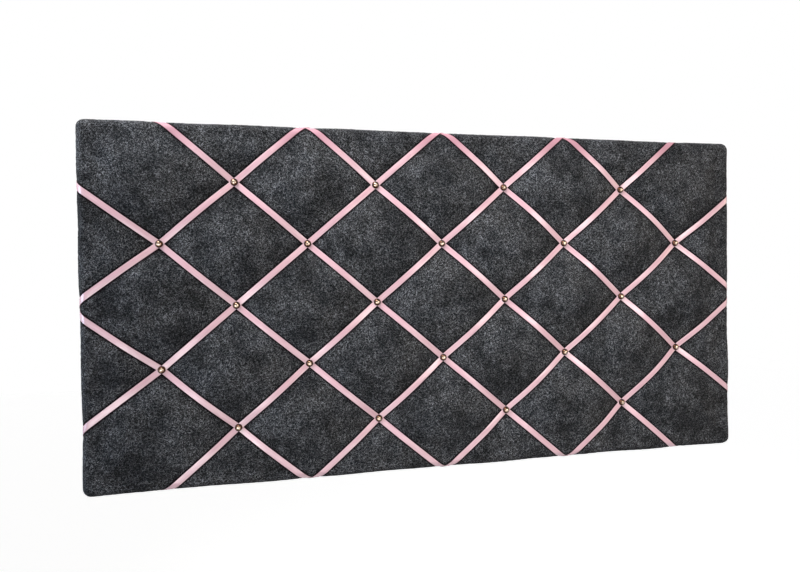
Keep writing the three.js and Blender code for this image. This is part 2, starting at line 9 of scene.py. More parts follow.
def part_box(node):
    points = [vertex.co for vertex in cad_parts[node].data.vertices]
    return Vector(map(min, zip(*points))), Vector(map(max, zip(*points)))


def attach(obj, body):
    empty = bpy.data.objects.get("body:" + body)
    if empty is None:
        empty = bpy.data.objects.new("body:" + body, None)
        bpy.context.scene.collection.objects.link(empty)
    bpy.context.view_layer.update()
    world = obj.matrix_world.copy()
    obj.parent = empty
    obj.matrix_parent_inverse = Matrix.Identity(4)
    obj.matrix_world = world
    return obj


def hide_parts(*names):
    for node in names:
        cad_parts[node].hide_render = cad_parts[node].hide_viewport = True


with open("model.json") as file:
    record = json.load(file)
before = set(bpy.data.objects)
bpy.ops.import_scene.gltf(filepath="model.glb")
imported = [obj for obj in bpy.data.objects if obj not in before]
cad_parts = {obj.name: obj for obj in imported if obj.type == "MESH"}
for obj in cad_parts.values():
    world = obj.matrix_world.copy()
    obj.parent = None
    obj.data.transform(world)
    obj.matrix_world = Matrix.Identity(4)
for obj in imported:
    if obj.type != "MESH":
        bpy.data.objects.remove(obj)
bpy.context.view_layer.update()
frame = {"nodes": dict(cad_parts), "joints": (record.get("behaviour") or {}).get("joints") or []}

# BACKING BOARD
# A 10 mm panel of medium-density fibreboard, sawn to size with rounded corners.
# Every other piece is fixed to it; only its bare rear face shows, inside the felt's hem.

MM = 0.001


class Signal:
    """A socket of one material's node tree. Arithmetic on it adds Math nodes to that tree."""

    def __init__(self, tree, socket=None):
        self.tree = tree
        self.socket = socket

    def node(self, kind, settings, inputs, output=0):
        """Adds a node, sets its settings and its sockets' values or links, and gives one output."""
        made = self.tree.nodes.new(kind)
        for name, value in settings.items():
            setattr(made, name, value)
        for key, value in inputs.items():
            if isinstance(value, Signal):
                self.tree.links.new(value.socket, made.inputs[key])
            else:
                made.inputs[key].default_value = value
        return Signal(self.tree, made.outputs[output])

    def into(self, socket):
        self.tree.links.new(self.socket, socket)

    def math(self, operation, first, second=0.0):
        return self.node("ShaderNodeMath", {"operation": operation}, {0: first, 1: second})

    def __add__(self, other):
        return self.math("ADD", self, other)

    def __sub__(self, other):
        return self.math("SUBTRACT", self, other)

    def __rsub__(self, other):
        return self.math("SUBTRACT", other, self)

    def __mul__(self, other):
        return self.math("MULTIPLY", self, other)

    def __pow__(self, other):
        return self.math("POWER", self, other)

    def __abs__(self):
        return self.math("ABSOLUTE", self)

    __radd__ = __add__
    __rmul__ = __mul__

    def between(self, low, high):
        """0 below the low value, 1 above the high one, and an even slope between."""
        limits = {"From Min": low, "From Max": high}
        return self.node("ShaderNodeMapRange", {"clamp": True}, {"Value": self, **limits})

    def colours(self, start, end):
        """The start colour where the signal is 0, the end colour where it is 1."""
        return self.node("ShaderNodeMix", {"data_type": "RGBA"}, {0: self, 6: start, 7: end}, 2)

    def noise(self, size, detail=2.0, turn=0.0, shift=0.0, output=0):
        """Cloudy noise over this vector. A cloud has this size in metres, one for all axes or one
        for each, and is turned about Y. A shift in metres gives another noise of the same kind."""
        sizes = size if isinstance(size, tuple) else (size, size, size)
        moved = {"Location": (shift, shift, shift), "Rotation": (0.0, turn, 0.0), "Scale": sizes}
        moved["Vector"] = self
        place = self.node("ShaderNodeMapping", {"vector_type": "TEXTURE"}, moved)
        clouds = {"Vector": place, "Scale": 1.0, "Detail": detail}
        return self.node("ShaderNodeTexNoise", {}, clouds, output)

    def bent(self, size, reach):
        """This vector pushed about by noise, in bends of this size and up to half this reach."""
        push = {0: self.noise(size, output=1), 1: (reach, reach, reach), 2: self}
        return self.node("ShaderNodeVectorMath", {"operation": "MULTIPLY_ADD"}, push)

    def bump(self, strength, distance):
        """A normal that follows this signal as a height of so many metres."""
        heights = {"Height": self, "Strength": strength, "Distance": distance}
        return self.node("ShaderNodeBump", {}, heights)


def new_finish(name, **constants):
    """A material with these constants on its shader: the material, its sockets and its place."""
    material = bpy.data.materials.new(name)
    material.use_nodes = True
    sockets = material.node_tree.nodes["Principled BSDF"].inputs
    for key, value in constants.items():
        sockets[key.replace("_", " ")].default_value = value
    place = Signal(material.node_tree).node("ShaderNodeTexCoord", {}, {}, "Object")
    return material, sockets, place


def tone(red, green, blue):
    """A colour given by its screen values, 0 to 255, as the linear values that a shader takes."""
    screen = np.array([red, green, blue]) / 255
    linear = np.where(screen <= 0.04045, screen / 12.92, ((screen + 0.055) / 1.055) ** 2.4)
    return (*linear.tolist(), 1.0)


def dress(node, material):
    """Gives a CAD node that stays in view its finish."""
    slots = frame["nodes"][node].data.materials
    slots.clear()
    slots.append(material)


fibreboard, sockets, place = new_finish("fibreboard")
pressed_fibres = place.noise((1.1 * MM, 1.1 * MM, 3.2 * MM), 4.0).between(0.3, 0.7)
dark_flecks = place.noise((6 * MM, 2.4 * MM, 2.4 * MM), 3.0).between(0.62, 0.72)
patches = place.noise(70 * MM).between(0.3, 0.7)
board_colour = patches.colours(tone(168, 136, 98), tone(184, 153, 114))
board_colour = (pressed_fibres * 0.55).colours(board_colour, tone(203, 176, 138))
(dark_flecks * 0.7).colours(board_colour, tone(112, 84, 56)).into(sockets["Base Color"])
(0.78 + 0.14 * pressed_fibres).into(sockets["Roughness"])
(pressed_fibres - dark_flecks).bump(0.35, 0.2 * MM).into(sockets["Normal"])
dress("backing_board", fibreboard)

# WADDING
# A pad of polyester wadding, laid over the front of the panel and round its sides.
# The ribbons and nails press it into tufted diamonds; the felt hides it all.

EDGE_ROUND = 8 * MM  # roll of the felt over the front edges and round the corners
REAR_ROUND = 4 * MM  # fold of the felt onto the back
RIBBON_LAYERS = 1.7 * MM  # both ribbons under a nail's rim, with their seats
NAIL_DOME = 3 * MM
FELT_THICKNESS = 3 * MM
SEAT = 0.3 * MM  # gap left between two layers
RIBBON_WIDTH = 6 * MM
RIBBON_RISE = 5 * MM  # swell under the middle of a ribbon's span, above the felt at a nail
DIAMOND_RISE = 5 * MM  # crown of a diamond above that
EDGE_RISE = 4.5 * MM  # where the front starts to roll over the edge
EDGE_LAND = 8 * MM
EDGE_BLEND = 30 * MM
RIBBONS_EACH_WAY = 6
LAST_LINE = (RIBBONS_EACH_WAY - 1) / 2  # they are numbered from -2.5 to 2.5
SIDE_SLOPE = 0.87  # of the ribbons past the outer nails, as a share of their slope between nails

felt_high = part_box("felt_cover")[1]
nail_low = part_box("stud_c2")[0]
FLAT_X = felt_high.x - EDGE_ROUND
FLAT_Z = felt_high.z - EDGE_ROUND
STEP_X = (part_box("stud_c3")[0].x - nail_low.x) / 2
ROW_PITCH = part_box("stud_b2")[0].z - nail_low.z
OUTER_NAIL_X = (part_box("stud_b5")[0].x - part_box("stud_b1")[0].x) / 2
LINE_SPACING = 2 * STEP_X * ROW_PITCH / np.hypot(STEP_X, ROW_PITCH)
CHANNEL_HALF = RIBBON_WIDTH / 2 + 0.5 * MM  # level felt under a ribbon and just beside it

FELT_AT_NAIL = nail_low.y + NAIL_DOME + RIBBON_LAYERS
EDGE_AXIS_Y = FELT_AT_NAIL - EDGE_RISE + EDGE_ROUND
REAR_AXIS_Y = felt_high.y - REAR_ROUND
ROLL_ARC = EDGE_ROUND * np.pi / 2
SIDE_DEPTH = REAR_AXIS_Y - EDGE_AXIS_Y
FOLD_ARC = REAR_ROUND * np.pi / 2
WALK_TO_FOLD = ROLL_ARC + SIDE_DEPTH
WALK_TO_BACK = WALK_TO_FOLD + FOLD_ARC


def ease(value, low, high):
    """Smooth step from 0 at the low value to 1 at the high one."""
    share = np.clip((value - low) / (high - low), 0, 1)
    return share * share * (3 - 2 * share)


def lattice(across, up):
    """The fall and rise numbers of a place on the flat cloth: a ribbon keeps one of the two. Past
    the outer nails the lattice is drawn out to both sides, so the ribbons run flatter there."""
    past = np.maximum(np.abs(across) - OUTER_NAIL_X, 0)
    laid = across - np.sign(across) * past * (1 - SIDE_SLOPE)
    fall = (laid / STEP_X + up / ROW_PITCH) / 2
    rise = (laid / STEP_X - up / ROW_PITCH) / 2
    return fall, rise


def from_line(number):
    """Distance along the cloth from the middle of the nearest ribbon of one family."""
    line = np.clip(np.round(number - LAST_LINE) + LAST_LINE, -LAST_LINE, LAST_LINE)
    return np.abs(number - line) * LINE_SPACING


def swell(number):
    """0 in a ribbon's channel, a quarter sine wave up to 1 halfway to the next ribbon."""
    off = np.maximum(from_line(number) - CHANNEL_HALF, 0)
    return np.sin(np.pi / 2 * np.minimum(off / (LINE_SPACING / 2 - CHANNEL_HALF), 1))


def walked_out(across, up):
    """How far past the level front a place on the flat cloth lies."""
    return np.hypot(np.maximum(np.abs(across) - FLAT_X, 0), np.maximum(np.abs(up) - FLAT_Z, 0))


def before_back(walked):
    """1 on the front and the sides, and a smooth step down to 0 through the rear fold."""
    return 1 - ease(walked, WALK_TO_FOLD, WALK_TO_BACK)


SQUEEZE = 1.3 * MM  # padding that stands up beside a ribbon
SQUEEZE_REACH = 8 * MM
CINCH = 0.6 * MM  # how far a ribbon pulls the rolled edge in
CINCH_REACH = 6 * MM
CINCH_FROM = 14 * MM  # inside the edge, where the ribbons begin to pull it in
CORNER_FULLNESS = 0.4 * MM  # folded cloth at the corners
CORNER_REACH = 26 * MM
LUMP = 1 * MM  # unevenness of the padding by hand
LUMP_COUNT = 9
LUMP_TIGHTEST = 75  # radians to the metre
lump_random = np.random.default_rng(31)
LUMP_WAVES = lump_random.uniform(-LUMP_TIGHTEST, LUMP_TIGHTEST, (LUMP_COUNT, 2))  # across and up
LUMP_PHASES = lump_random.uniform(0, 2 * np.pi, LUMP_COUNT)


def cloth_height(across, up):
    """Height of the felt over the plane of its rolled edge. In each diamond, two sine swells a and
    b rise from the channels as 5(a + b - ab) + 5ab mm and fade into the edge. The padding stands up
    beside each ribbon, sum-of-sine lumps spread between the nails, the ribbons draw in the edge,
    and the corners stay full."""
    fall, rise = lattice(across, up)
    a, b = swell(fall), swell(rise)
    between_nails = a + b - a * b
    tuft = RIBBON_RISE * between_nails + DIAMOND_RISE * a * b
    inside = np.minimum(FLAT_X - np.abs(across), FLAT_Z - np.abs(up))
    on_front = ease(inside, EDGE_LAND, EDGE_LAND + EDGE_BLEND)
    near = np.minimum(from_line(fall), from_line(rise))
    off_edge = ease(inside, -2 * EDGE_ROUND, EDGE_BLEND)
    squeezed = SQUEEZE * (1 - np.exp(-((near / SQUEEZE_REACH) ** 2))) * off_edge
    waves_across = np.einsum("...,w->...w", across, LUMP_WAVES[:, 0])
    waves_up = np.einsum("...,w->...w", up, LUMP_WAVES[:, 1])
    lumps = LUMP * between_nails * np.sin(waves_across + waves_up + LUMP_PHASES).mean(axis=-1)
    walked = walked_out(across, up)
    on_edge = ease(inside, CINCH_FROM, 0) * before_back(walked)
    drawn_in = CINCH * np.exp(-((near / CINCH_REACH) ** 2))
    to_corner = np.hypot(np.abs(across) - FLAT_X, np.abs(up) - FLAT_Z)
    full = CORNER_FULLNESS * np.exp(-((to_corner / CORNER_REACH) ** 2))
    off_hem = 1 - ease(walked, ROLL_ARC, WALK_TO_BACK)
    uneven, at_edge = (squeezed + lumps) * off_hem, (full - drawn_in) * on_edge
    return (tuft - EDGE_RISE) * on_front + uneven + at_edge


def wrapped(across, up, stand_off):
    """A place on the flat cloth, wrapped over the board and `stand_off` above the plain felt. On
    the level front it keeps its place. Past it, the distance walked outwards runs through a quarter
    circle over the front edge, down the side, through the rear fold and back in along the hem. The
    corners are quarter rounds about the corners of the level front, and mitred on the hem."""
    over_x = np.maximum(np.abs(across) - FLAT_X, 0)
    over_z = np.maximum(np.abs(up) - FLAT_Z, 0)
    walked = np.hypot(over_x, over_z)
    roll = np.clip(walked, 0, ROLL_ARC) / EDGE_ROUND
    side = np.clip(walked - ROLL_ARC, 0, SIDE_DEPTH)
    fold = np.clip(walked - ROLL_ARC - SIDE_DEPTH, 0, FOLD_ARC) / REAR_ROUND
    hem = np.maximum(walked - WALK_TO_BACK, 0)
    front_round, rear_round = EDGE_ROUND + stand_off, REAR_ROUND + stand_off
    out = front_round * np.sin(roll) - rear_round * (1 - np.cos(fold)) - hem
    y = EDGE_AXIS_Y - front_round * np.cos(roll) + side + rear_round * np.sin(fold)
    span = np.where(walked > 0, walked, 1)
    share_x, share_z = over_x / span, over_z / span
    reach_x = np.maximum(out, 0) * share_x + np.minimum(out, 0) * (share_x > 0)
    reach_z = np.maximum(out, 0) * share_z + np.minimum(out, 0) * (share_z > 0)
    x = np.sign(across) * (np.minimum(np.abs(across), FLAT_X) + reach_x)
    z = np.sign(up) * (np.minimum(np.abs(up), FLAT_Z) + reach_z)
    return np.stack([x, y, z], axis=-1)


def grid_faces(rows, columns, first=0, closed=False):
    """Four-cornered faces of a grid of points numbered row by row, joined round where closed."""
    row = np.arange(rows - 1)[:, None] * columns + first
    column = np.arange(columns if closed else columns - 1)
    beside = (column + 1) % columns
    corners = [row + column, row + columns + column, row + columns + beside, row + beside]
    return np.stack(corners, axis=-1).reshape(-1, 4)


def front_grid(step):
    """Even grid over the level front, row by row from its lower left corner."""
    columns = int(round(2 * FLAT_X / step)) + 1
    rows = int(round(2 * FLAT_Z / step)) + 1
    return np.meshgrid(np.linspace(-FLAT_X, FLAT_X, columns), np.linspace(-FLAT_Z, FLAT_Z, rows))


CORNER_COLUMNS = 7


def border_columns(columns, rows):
    """The closed border of the level front, anticlockwise as the front is seen, as complex numbers
    across + i up: each column's start and the unit direction in which the cloth walks out from it.
    A side's columns run straight out, and a corner's fan out through a quarter turn."""
    starts, ways = [], []
    for quarter in range(4):
        travel = 1j**quarter
        outward = -1j * travel
        along, beyond, count = [(FLAT_X, FLAT_Z, columns), (FLAT_Z, FLAT_X, rows)][quarter % 2]
        inner = np.linspace(-along, along, count)[1:-1]
        fan = outward * np.exp(1j * np.linspace(0, np.pi / 2, CORNER_COLUMNS))
        corner = outward * beyond + travel * along
        starts += [outward * beyond + travel * inner, np.full(CORNER_COLUMNS, corner)]
        ways += [np.full(len(inner), outward), fan]
    return np.concatenate(starts), np.concatenate(ways)


WELD_WITHIN = 0.005 * MM
SLIVER = 0.001 * MM


def welded_piece(name, points, faces, material, attribute=None):
    """A mesh of these points and faces with its doubles merged, smooth, in place at the origin.
    A named attribute may carry one vector for each point."""
    mesh = bpy.data.meshes.new(name)
    mesh.from_pydata(points, [], faces)
    if attribute:
        key, vectors = attribute
        carried = mesh.attributes.new(key, "FLOAT_VECTOR", "POINT").data
        carried.foreach_set("vector", vectors.ravel())
    shell = bmesh.new()
    shell.from_mesh(mesh)
    bmesh.ops.remove_doubles(shell, verts=shell.verts, dist=WELD_WITHIN)
    bmesh.ops.dissolve_degenerate(shell, edges=shell.edges, dist=SLIVER)
    shell.to_mesh(mesh)
    shell.free()
    mesh.shade_smooth()
    mesh.materials.append(material)
    piece = bpy.data.objects.new(name, mesh)
    bpy.context.scene.collection.objects.link(piece)
    return piece


WADDING_STEP = 6 * MM
WADDING_ROLL_ROWS = 6
WADDING_INSET = FELT_THICKNESS + SEAT
board_low, board_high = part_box("backing_board")
BOARD_ROUND = board_high.x - FLAT_X

polyester, sockets, place = new_finish("polyester_wadding", Roughness=1.0, Sheen_Weight=0.3)
lofty_fibres = place.noise((1.4 * MM, 2.9 * MM, 4.8 * MM), 4.0).between(0.3, 0.7)
lofty_fibres.colours(tone(226, 224, 218), tone(247, 246, 242)).into(sockets["Base Color"])
lofty_fibres.bump(0.5, 0.6 * MM).into(sockets["Normal"])

across, up = front_grid(WADDING_STEP)
starts, ways = border_columns(across.shape[1], across.shape[0])
rolled = np.linspace(0, ROLL_ARC, WADDING_ROLL_ROWS)
walk = np.concatenate([rolled, [WALK_TO_FOLD, WALK_TO_BACK]])
walked_places = starts + walk[:, None] * ways
ring_across, ring_up = walked_places.real, walked_places.imag
face_points = wrapped(across, up, cloth_height(across, up) - WADDING_INSET)
ring_points = wrapped(ring_across, ring_up, cloth_height(ring_across, ring_up) - WADDING_INSET)
bed_line = starts + (BOARD_ROUND + SEAT) * ways
bed_y = board_low.y - SEAT
bed_levels = np.array([board_high.y, bed_y])[:, None]
bed_points = np.stack(np.broadcast_arrays(bed_line.real, bed_levels, bed_line.imag), axis=-1)
floor_line = np.stack([starts.real, np.full(len(starts), bed_y), starts.imag], axis=-1)
skirt = np.concatenate([ring_points, bed_points, floor_line[None]])
bed_floor = np.stack([across, np.full(across.shape, bed_y), up], axis=-1)
pad_points = np.concatenate([part.reshape(-1, 3) for part in (face_points, skirt, bed_floor)])
pad_faces = np.concatenate([
    grid_faces(*across.shape)[:, ::-1],
    grid_faces(len(skirt), len(starts), across.size, closed=True),
    grid_faces(*across.shape, across.size + skirt.size // 3),
])
pad = welded_piece("soft_wadding", pad_points, pad_faces, polyester)
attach(pad, "board")
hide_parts("wadding")

# FELT COVER
# One sheet of charcoal melange wool felt, 3 mm thick, stretched over the padding.
# It rolls over the front edges, folds onto the back and is stapled there along a raw hem.

FELT_STEP = 2.75 * MM
HEM_WIDTH = 38 * MM
ROLL_ROWS, SIDE_ROWS, FOLD_ROWS, HEM_ROWS = 9, 3, 5, 7
HEM_WAVER = 0.6 * MM  # the hem is cut by hand
HEM_WAVES = (41, 53, 97, 71)  # radians to the metre
FUZZ = 0.09 * MM
STRAND = (2.6 * MM, 0.8 * MM, 0.45 * MM)
STRAND_BEND = (7 * MM, 2 * MM)  # size of the bends and their reach
CREASE_SHADE_SPAN = (0.9 * MM, 2.2 * MM)  # painted shade beside a ribbon, darker than the rest, from its edge
NAIL_SHADE_SPAN = (4.5 * MM, 11 * MM)  # painted shade round a nail, from its middle

felt, sockets, place = new_finish(
    "charcoal_felt", Roughness=1.0, Specular_IOR_Level=0.02, Sheen_Weight=0.03, Sheen_Roughness=0.6
)


def strands(turn, low, high):
    """Wool fibres that lie one way: long thin clouds in a bent place, between two noise levels."""
    return place.bent(*STRAND_BEND).noise(STRAND, 1.0, turn, turn).between(low, high)


JUST_UNDER_HALF = 0.499


def off_ribbon(number):
    """Distance along the cloth from the nearest ribbon. A ribbon's lattice number ends in a half,
    and past the last ribbon the number stays just short of the next whole one."""
    inner = number.math("MINIMUM", abs(number), LAST_LINE + JUST_UNDER_HALF)
    return abs(inner.math("FRACT", inner) - 0.5) * LINE_SPACING


grain = place.noise(0.7 * MM, 3.0).between(0.3, 0.7)
clouded = 0.54 * place.noise(28 * MM) + 0.46 * place.noise(10 * MM, shift=0.3)
mottling = clouded.between(0.4, 0.6)
dyed_warm = place.noise(30 * MM, 2.0, shift=0.7).between(0.35, 0.65)
pale_wool = grain.math("MAXIMUM", strands(0.4, 0.58, 0.7), strands(2.0, 0.58, 0.7))
grey_wool = grain.math("MAXIMUM", strands(1.2, 0.54, 0.66), strands(2.7, 0.54, 0.66))
dark_wool = grain.math("MAXIMUM", strands(0.0, 0.52, 0.62), strands(1.6, 0.52, 0.62))
felt_ground = dyed_warm.colours(tone(55, 59, 65), tone(62, 60, 58))
felt_colour = grain.colours(tone(14, 14, 15), felt_ground)
felt_colour = (0.6 * grey_wool).colours(felt_colour, tone(86, 87, 91))
felt_colour = (0.8 * dark_wool).colours(felt_colour, tone(5, 5, 6))
felt_colour = (0.85 * pale_wool).colours(felt_colour, tone(156, 157, 162))
felt_colour = (0.63 * mottling).colours(felt_colour, tone(9, 9, 10))
numbers = place.node("ShaderNodeAttribute", {"attribute_name": "lattice"}, {}, "Vector")
fall_number, rise_number, in_view = (
    numbers.node("ShaderNodeSeparateXYZ", {}, {0: numbers}, axis) for axis in "XYZ"
)
off_fall, off_rise = off_ribbon(fall_number), off_ribbon(rise_number)
to_ribbon = off_fall.math("MINIMUM", off_fall, off_rise)
to_nail = (off_fall * off_fall + off_rise * off_rise) ** 0.5
# painted shade: the felt is darkened beside each ribbon and round each nail, where shade falls,
# with a red tint of painted light bounced from the ribbons, on the front and sides only
beside = 1 - (to_ribbon - RIBBON_WIDTH / 2).between(*CREASE_SHADE_SPAN)
nail_shade = 1 - to_nail.between(*NAIL_SHADE_SPAN)
painted_contact_shade = in_view * beside.math("MAXIMUM", 0.92 * beside, 0.95 * nail_shade)
painted_contact_shade.colours(felt_colour, tone(14, 4, 6)).into(sockets["Base Color"])
felt_height = grain + 0.8 * pale_wool + 0.6 * grey_wool - 0.5 * dark_wool
felt_height.bump(0.6, 0.35 * MM).into(sockets["Normal"])

across, up = front_grid(FELT_STEP)
starts, ways = border_columns(across.shape[1], across.shape[0])
walk = np.concatenate([
    np.linspace(0, ROLL_ARC, ROLL_ROWS)[:-1],
    np.linspace(ROLL_ARC, WALK_TO_FOLD, SIDE_ROWS)[:-1],
    np.linspace(WALK_TO_FOLD, WALK_TO_BACK, FOLD_ROWS)[:-1],
    np.linspace(WALK_TO_BACK, WALK_TO_BACK + HEM_WIDTH - REAR_ROUND, HEM_ROWS),
])
slow_x, slow_z, fast_x, fast_z = HEM_WAVES
waver = np.sin(starts.real * slow_x) * np.cos(starts.imag * slow_z)
waver = waver + np.sin(starts.real * fast_x + starts.imag * fast_z)
hem_end = (np.arange(len(walk)) == len(walk) - 1)[:, None]
cut_line = walk[:, None] + hem_end * waver * HEM_WAVER / 2
walked_places = starts + cut_line * ways
cloth_across = np.concatenate([across.ravel(), walked_places.real.ravel()])
cloth_up = np.concatenate([up.ravel(), walked_places.imag.ravel()])
felt_points = wrapped(cloth_across, cloth_up, cloth_height(cloth_across, cloth_up))
felt_faces = np.concatenate([
    grid_faces(*across.shape)[:, ::-1],
    grid_faces(len(walk), len(starts), across.size, closed=True),
])
not_on_back = before_back(walked_out(cloth_across, cloth_up))
lattice_map = np.stack([*lattice(cloth_across, cloth_up), not_on_back], axis=-1)
cover = welded_piece("felt_sheet", felt_points, felt_faces, felt, ("lattice", lattice_map))
fuzz_random = np.random.default_rng(7)
felt_mesh = cover.data
spots = np.empty(len(felt_mesh.vertices) * 3)
facing = np.empty_like(spots)
felt_mesh.vertices.foreach_get("co", spots)
felt_mesh.vertex_normals.foreach_get("vector", facing)
spots += facing * np.repeat(fuzz_random.normal(0, FUZZ, len(felt_mesh.vertices)), 3)
felt_mesh.vertices.foreach_set("co", spots)
thickness = cover.modifiers.new("felt_thickness", "SOLIDIFY")
thickness.thickness = FELT_THICKNESS
thickness.offset = -1
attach(cover, "board")
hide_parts("felt_cover")
felt_cut = [2 * (half + WALK_TO_BACK + HEM_WIDTH - REAR_ROUND) for half in (FLAT_X, FLAT_Z)]

# RIBBONS
# Twelve lengths of 6 mm single-faced satin ribbon in pink, six falling and six rising.
# Each lies in a channel of the felt, folds over the edges and is stapled to the hem.
# Along the upper edge the satin is painted a deeper pink as painted shade, and made duller.

RIBBON_THICKNESS = 0.4 * MM
RIBBON_STEP = 1.6 * MM
RIBBON_TAIL = 16 * MM
RIBBON_SEAT = 0.22 * MM  # above the felt
CROSSING_LIFT = 0.5 * MM  # a rising ribbon passes over a falling one
CROSSING_REACH = 6 * MM
RIBBON_CROWN = 0.1 * MM
TOP_SHADE_FROM = 24 * MM  # where the painted shade and the dullness begin, below the upper edge
SECTION_POINTS = 20
SIDE_SQUARENESS, TOP_SQUARENESS = 0.5, 0.35  # exponents of the section: 1 is an ellipse, 0 a box
SELVEDGE = (2.45 * MM, 2.75 * MM)  # from the ribbon's middle
# painted shade along the ribbon's sides, from its middle
EDGE_SHADE_SPAN = (2.66 * MM, 2.86 * MM)

satin, sockets, place = new_finish(
    "pink_satin", Specular_IOR_Level=1.0, Sheen_Weight=0.05, Sheen_Roughness=0.3
)
run = place.node("ShaderNodeUVMap", {"uv_map": "ribbon"}, {})
side_to_side = run.node("ShaderNodeSeparateXYZ", {}, {0: run}, "Y")
from_middle = abs(side_to_side)
selvedge = from_middle.between(*SELVEDGE)
floats = run.noise((8 * MM, 0.26 * MM, 1.0)).between(0.3, 0.7)
slubs = run.noise((38 * MM, 3.3 * MM, 1.0), 1.0).between(0.35, 0.65)
satin_colour = floats.colours(tone(202, 153, 163), tone(214, 171, 179))
satin_colour = (0.45 * slubs).colours(satin_colour, tone(224, 187, 193))
satin_colour = (0.6 * selvedge).colours(satin_colour, tone(232, 202, 207))
# painted shade along the upper edge: the satin there is a deeper pink, and rougher
handled = place.node("ShaderNodeAttribute", {"attribute_name": "handled"}, {}, "Fac")
satin_colour = (0.9 * handled).colours(satin_colour, tone(172, 118, 131))
# painted shade on the ribbon's sides: a thin dark red line along both edges
edge_shade = from_middle.between(*EDGE_SHADE_SPAN)
(0.85 * edge_shade).colours(satin_colour, tone(104, 40, 52)).into(sockets["Base Color"])
(0.17 + 0.08 * floats + 0.1 * selvedge + 0.45 * handled).into(sockets["Roughness"])
(floats + 0.6 * selvedge).bump(0.35, 0.07 * MM).into(sockets["Normal"])


def ribbon_section():
    """Rounded flat section of a ribbon: a superellipse 6 by 0.4 mm with a slight crown."""
    turn = np.linspace(0, 2 * np.pi, SECTION_POINTS, endpoint=False)
    across, up = np.cos(turn), np.sin(turn)
    side = RIBBON_WIDTH / 2 * np.sign(across) * np.abs(across) ** SIDE_SQUARENESS
    above = RIBBON_THICKNESS / 2 * (1 + np.sign(up) * np.abs(up) ** TOP_SQUARENESS)
    return side, above + RIBBON_CROWN * (1 - (2 * side / RIBBON_WIDTH) ** 2)


def ribbon_run(line, slope):
    """Middle line of a ribbon on the flat cloth as complex numbers across + i up, straight between
    the outer nails and flatter past them, with the unit direction along it at each place. Falling
    ribbons have slope -1, rising ones 1."""
    way = complex(STEP_X, slope * ROW_PITCH)
    start = line * complex(STEP_X, -slope * ROW_PITCH)
    reach = FLAT_X + FLAT_Z
    laid = start + np.arange(-reach, reach, RIBBON_STEP) / abs(way) * way
    past = np.maximum(np.abs(laid.real) - OUTER_NAIL_X, 0)
    places = laid + np.sign(laid.real) * past * (1 / SIDE_SLOPE - 1)
    along = np.gradient(places)
    kept = walked_out(places.real, places.imag) < WALK_TO_BACK + RIBBON_TAIL
    return places[kept], (along / np.abs(along))[kept]


def ribbon(name, line, slope, node):
    """The section carried along the run, at the height of the felt under its middle line.
    Rising ribbons lift over each crossing on a bell curve. Both ends are closed. The map has the
    length in u and the place across the ribbon in v, both in metres."""
    places, along = ribbon_run(line, slope)
    side, above = ribbon_section()
    fall, rise = lattice(places.real, places.imag)
    crossing = from_line(rise if slope < 0 else fall)
    crossing_lift = CROSSING_LIFT * (slope > 0) * np.exp(-((crossing / CROSSING_REACH) ** 2))
    base = cloth_height(places.real, places.imag) + RIBBON_SEAT + crossing_lift
    spread = places[:, None] + side * along[:, None] * 1j
    points = wrapped(spread.real, spread.imag, base[:, None] + above)
    rows = len(places)
    faces = grid_faces(rows, SECTION_POINTS, closed=True)[:, ::-1].tolist()
    end = list(range(SECTION_POINTS))
    faces += [end[::-1], [(rows - 1) * SECTION_POINTS + corner for corner in end]]
    mesh = bpy.data.meshes.new(name)
    mesh.from_pydata(points.reshape(-1, 3), [], faces)
    length = np.cumsum(np.abs(np.diff(places, prepend=places[:1])))
    length = np.broadcast_to(length[:, None], (rows, SECTION_POINTS))
    flat_map = np.stack([length, np.broadcast_to(side, length.shape)], axis=-1).reshape(-1, 2)
    corners = np.empty(len(mesh.loops), int)
    mesh.loops.foreach_get("vertex_index", corners)
    mesh.uv_layers.new(name="ribbon").uv.foreach_set("vector", flat_map[corners].ravel())
    # share of painted shade and dullness, rising towards the upper edge and over it
    past_top = places.imag - FLAT_Z
    shade_and_dullness = ease(past_top, -TOP_SHADE_FROM, 0) * before_back(past_top)
    top_shading = mesh.attributes.new("handled", "FLOAT", "POINT").data
    top_shading.foreach_set("value", np.repeat(shade_and_dullness, SECTION_POINTS))
    mesh.shade_smooth()
    mesh.materials.append(satin)
    piece = bpy.data.objects.new(name, mesh)
    bpy.context.scene.collection.objects.link(piece)
    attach(piece, "board")
    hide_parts(node)


for number in range(RIBBONS_EACH_WAY):
    line = number - LAST_LINE
    ribbon(f"satin_fall_{number + 1}", line, -1, f"ribbon_fall_{number + 1}")
    ribbon(f"satin_rise_{number + 1}", line, 1, f"ribbon_rise_{number + 1}")

# NAILS
# Upholstery nails, each a hollow dome pressed from brass on a pointed shank.
# One is driven through each crossing into the panel. Each rim is painted dark, as age and as a
# painted dark reflection, and each crown pale, as rubbed wear and as a painted highlight.

NAIL_HEAD = 7.5 * MM
NAIL_WALL = 0.6 * MM
NAIL_SHANK = 1.6 * MM
NAIL_DRIVEN = 0.45 * MM  # the rim sinks into the ribbons
NAIL_SIDES = 40
DOME_ROWS, HOLLOW_ROWS = 11, 5
RIM_ROLL = 0.12 * MM
RIM_INNER = 0.1 * MM  # from the hollow's edge
HOLLOW_TURN = 1.25  # radians of the hollow's ellipse, from its edge up to the shank
SHANK_TOP = -1.5 * MM  # all three measured from the rim, into the board
SHANK_TAPER = 10.5 * MM
SHANK_POINT = 13 * MM

brass, sockets, place = new_finish("aged_brass", Metallic=1.0)
turned_map = place.node("ShaderNodeUVMap", {"uv_map": "turned"}, {})
up_the_dome = turned_map.node("ShaderNodeSeparateXYZ", {}, {0: turned_map}, "Y")
tarnish = place.noise(1.7 * MM, 2.0).between(0.4, 0.62)
